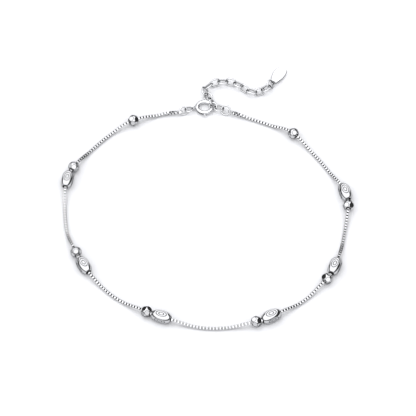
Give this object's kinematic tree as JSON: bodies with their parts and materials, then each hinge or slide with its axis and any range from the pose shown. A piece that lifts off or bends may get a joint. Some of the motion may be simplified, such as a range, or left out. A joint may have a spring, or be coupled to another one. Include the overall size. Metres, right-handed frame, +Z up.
{
  "type": "chain anklet",
  "caption": "Silver box-chain anklet with pairs of faceted round and windowed oval beads, a spring-ring clasp and an extension chain with a bare oval tag, lying closed.",
  "frame": {"origin": "on the surface that the anklet lies on, under the middle of its outline", "axes": "+Z up from the surface, +Y from the front of the loop towards the clasp and the extension, +X to the right when seen from the front"},
  "size_m": [0.0748, 0.0868, 0.0029],
  "materials": {
    "chain_silver": "bright silver box chain, lightly satin from its many small faces",
    "polished_bead_silver": "mirror-polished silver with diamond-cut flats",
    "engraved_bead_silver": "polished silver with fine grooves cut in its windows",
    "wire_silver": "polished round silver wire",
    "clasp_silver": "polished silver tube",
    "bolt_silver": "polished silver, a little duller than the clasp",
    "tag_silver": "plain polished silver sheet"
  },
  "bodies": {
    "anklet": {"box_chain": "chain_silver", "round_bead_1": "polished_bead_silver", "round_bead_2": "polished_bead_silver", "round_bead_3": "polished_bead_silver", "round_bead_4": "polished_bead_silver", "round_bead_5": "polished_bead_silver", "round_bead_6": "polished_bead_silver", "round_bead_7": "polished_bead_silver", "round_bead_8": "polished_bead_silver", "oval_bead_1": "engraved_bead_silver", "oval_bead_2": "engraved_bead_silver", "oval_bead_3": "engraved_bead_silver", "oval_bead_4": "engraved_bead_silver", "oval_bead_5": "engraved_bead_silver", "oval_bead_6": "engraved_bead_silver", "clasp_ring": "clasp_silver", "clasp_jump_ring_1": "wire_silver", "clasp_jump_ring_2": "wire_silver", "hook_ring": "wire_silver", "end_jump_ring_1": "wire_silver", "end_jump_ring_2": "wire_silver", "extension_link_1": "wire_silver", "extension_link_2": "wire_silver", "extension_link_3": "wire_silver", "extension_link_4": "wire_silver", "extension_link_5": "wire_silver", "extension_link_6": "wire_silver", "extension_link_7": "wire_silver", "extension_link_8": "wire_silver", "extension_link_9": "wire_silver", "extension_link_10": "wire_silver", "extension_link_11": "wire_silver", "extension_link_12": "wire_silver", "tag_ring": "wire_silver", "tag": "tag_silver"},
    "bolt": {"clasp_bolt": "bolt_silver"}
  },
  "joints": [
    {"name": "bolt_slide", "type": "hinge", "parent": "anklet", "child": "bolt", "pos_m": [-0.00064, 0.02904, 0.00075], "axis": [0, 0, 1], "range_deg": [-60, 0], "stiffness_Nm_per_rad": 0.0004, "springref_deg": 34.38}
  ]
}
